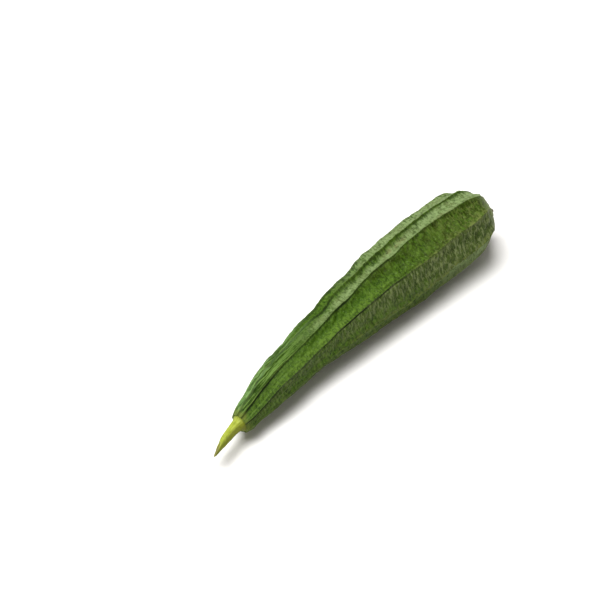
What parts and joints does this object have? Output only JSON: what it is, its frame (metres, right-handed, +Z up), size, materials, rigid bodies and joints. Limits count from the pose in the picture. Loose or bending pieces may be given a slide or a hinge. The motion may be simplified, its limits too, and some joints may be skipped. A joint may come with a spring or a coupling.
{
  "type": "ridge gourd",
  "caption": "Whole ridge gourd lying on its side: slender neck, club-shaped body with sharp lengthwise ridges and hollow faces, short cut stalk and a dried blossom scar.",
  "frame": {"origin": "middle of the footprint, on the surface that the gourd lies on", "axes": "+X runs along the gourd from the cut stalk to the blossom end, +Z is up, and the middle line bows gently towards +Y"},
  "size_m": [0.3402, 0.0636, 0.0621],
  "materials": {
    "green_rind": "satin",
    "stalk_skin": "satin",
    "dried_scar": "matte"
  },
  "bodies": {
    "root": {"fruit": "green_rind", "stalk": "stalk_skin", "blossom_scar": "dried_scar"}
  },
  "joints": []
}
